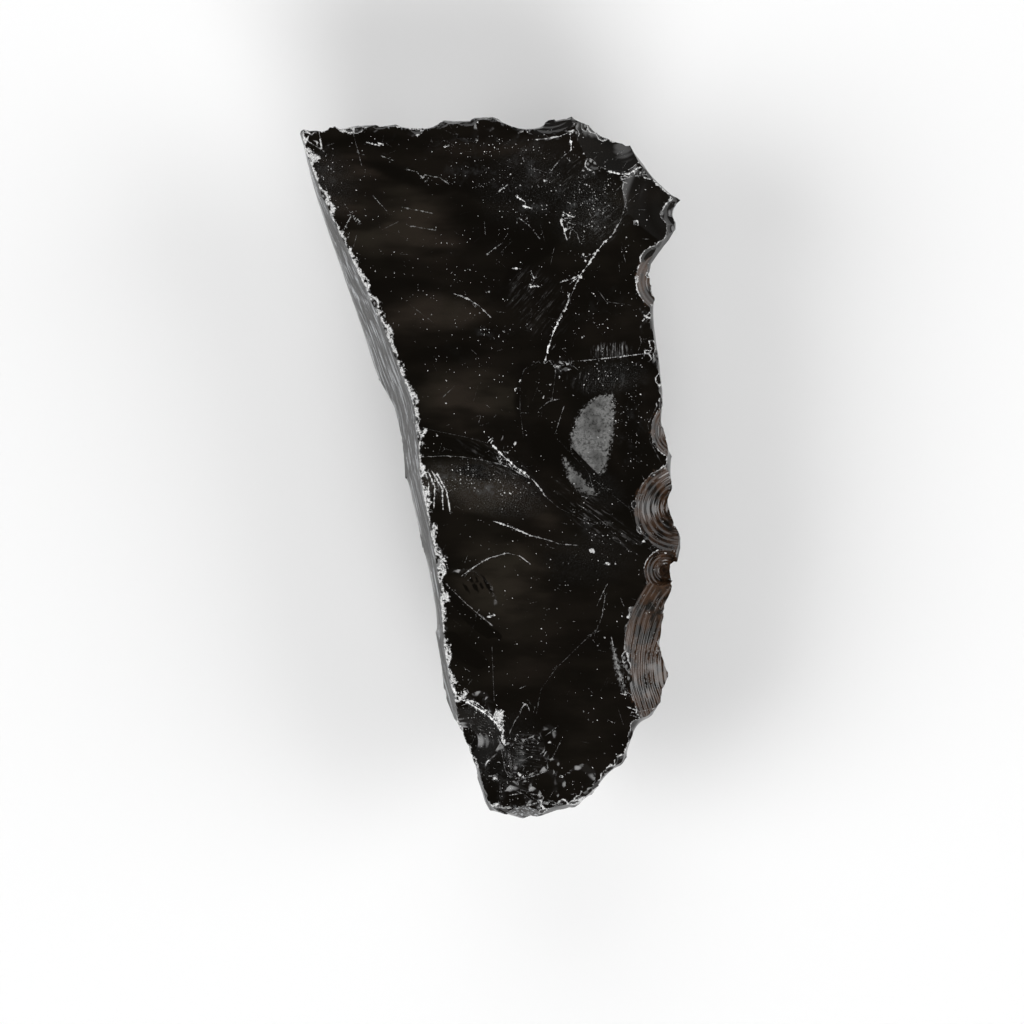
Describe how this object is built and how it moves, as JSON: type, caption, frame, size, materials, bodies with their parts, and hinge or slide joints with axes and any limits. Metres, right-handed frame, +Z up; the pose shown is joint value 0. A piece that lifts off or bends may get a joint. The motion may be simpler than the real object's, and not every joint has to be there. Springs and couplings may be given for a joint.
{
  "type": "obsidian chunk",
  "caption": "Rough wedge of black volcanic glass, with broad flat fracture faces, shell-shaped flake scars and sharp chipped edges, resting on a flat back face.",
  "frame": {"origin": "centre of the outline's box, on the surface that the chunk rests on", "axes": "+Z up through the broad front face, +Y along the length towards the wide end, +X to the side with the shell-shaped scars"},
  "size_m": [0.0727, 0.1345, 0.0386],
  "materials": {
    "obsidian": "opaque black volcanic glass, glossy on fresh faces, with crushed white edges, fine specks and ripples"
  },
  "bodies": {
    "root": {"obsidian_chunk": "obsidian"}
  },
  "joints": []
}
